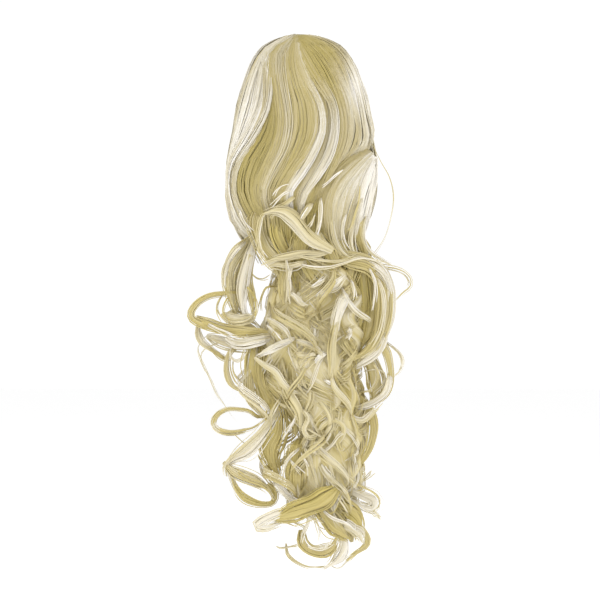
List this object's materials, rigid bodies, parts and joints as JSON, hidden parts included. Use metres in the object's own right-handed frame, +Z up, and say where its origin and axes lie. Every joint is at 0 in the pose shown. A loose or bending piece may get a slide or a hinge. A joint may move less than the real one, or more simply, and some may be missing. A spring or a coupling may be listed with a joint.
{
  "type": "ponytail hairpiece",
  "caption": "Long curled false ponytail: a parted crown layer over a domed net cap with a comb, and a loose tail of spiral curls below.",
  "frame": {"origin": "middle of the cap's mouth, which lies in the plane y = 0 against the wearer's head", "axes": "+Z up along the hanging tail, +Y towards the wearer's head, -Y the side that is seen when worn, +X to the seen side's right"},
  "size_m": [0.2235, 0.1263, 0.535],
  "materials": {
    "hair": "silky blond fibre",
    "net": "fine matt net",
    "comb_plastic": "satin"
  },
  "bodies": {
    "root": {"cap": "net", "comb": "comb_plastic", "crown_hair": "hair", "tail_hair": "hair"}
  },
  "joints": []
}
